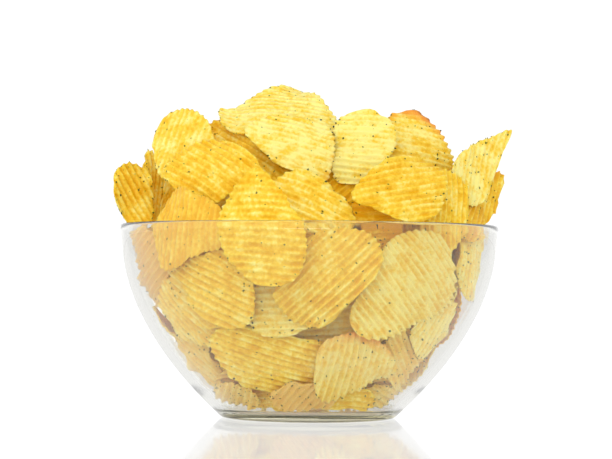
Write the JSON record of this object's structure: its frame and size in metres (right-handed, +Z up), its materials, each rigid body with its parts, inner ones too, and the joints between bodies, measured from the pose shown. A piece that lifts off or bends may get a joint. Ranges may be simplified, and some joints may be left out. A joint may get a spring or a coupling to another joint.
{
  "type": "bowl of crisps",
  "caption": "Clear round glass bowl with a flat foot, heaped well above its rim with ridge-cut potato crisps specked with green herbs.",
  "frame": {"origin": "centre of the flat underside of the bowl, on the surface that it stands on, on the bowl's turning axis", "axes": "+Z up along the bowl's turning axis; -Y is the front of the heap as shown, and +X is to the right of somebody facing the front"},
  "size_m": [0.206, 0.2, 0.1792],
  "materials": {
    "bowl_glass": "clear pressed glass with a fire-polished rim",
    "crisps": "fried potato: ridged, lightly oily, yellow with green herb flecks and a few toasted edges"
  },
  "bodies": {
    "root": {"bowl": "bowl_glass", "crisps": "crisps"}
  },
  "joints": []
}
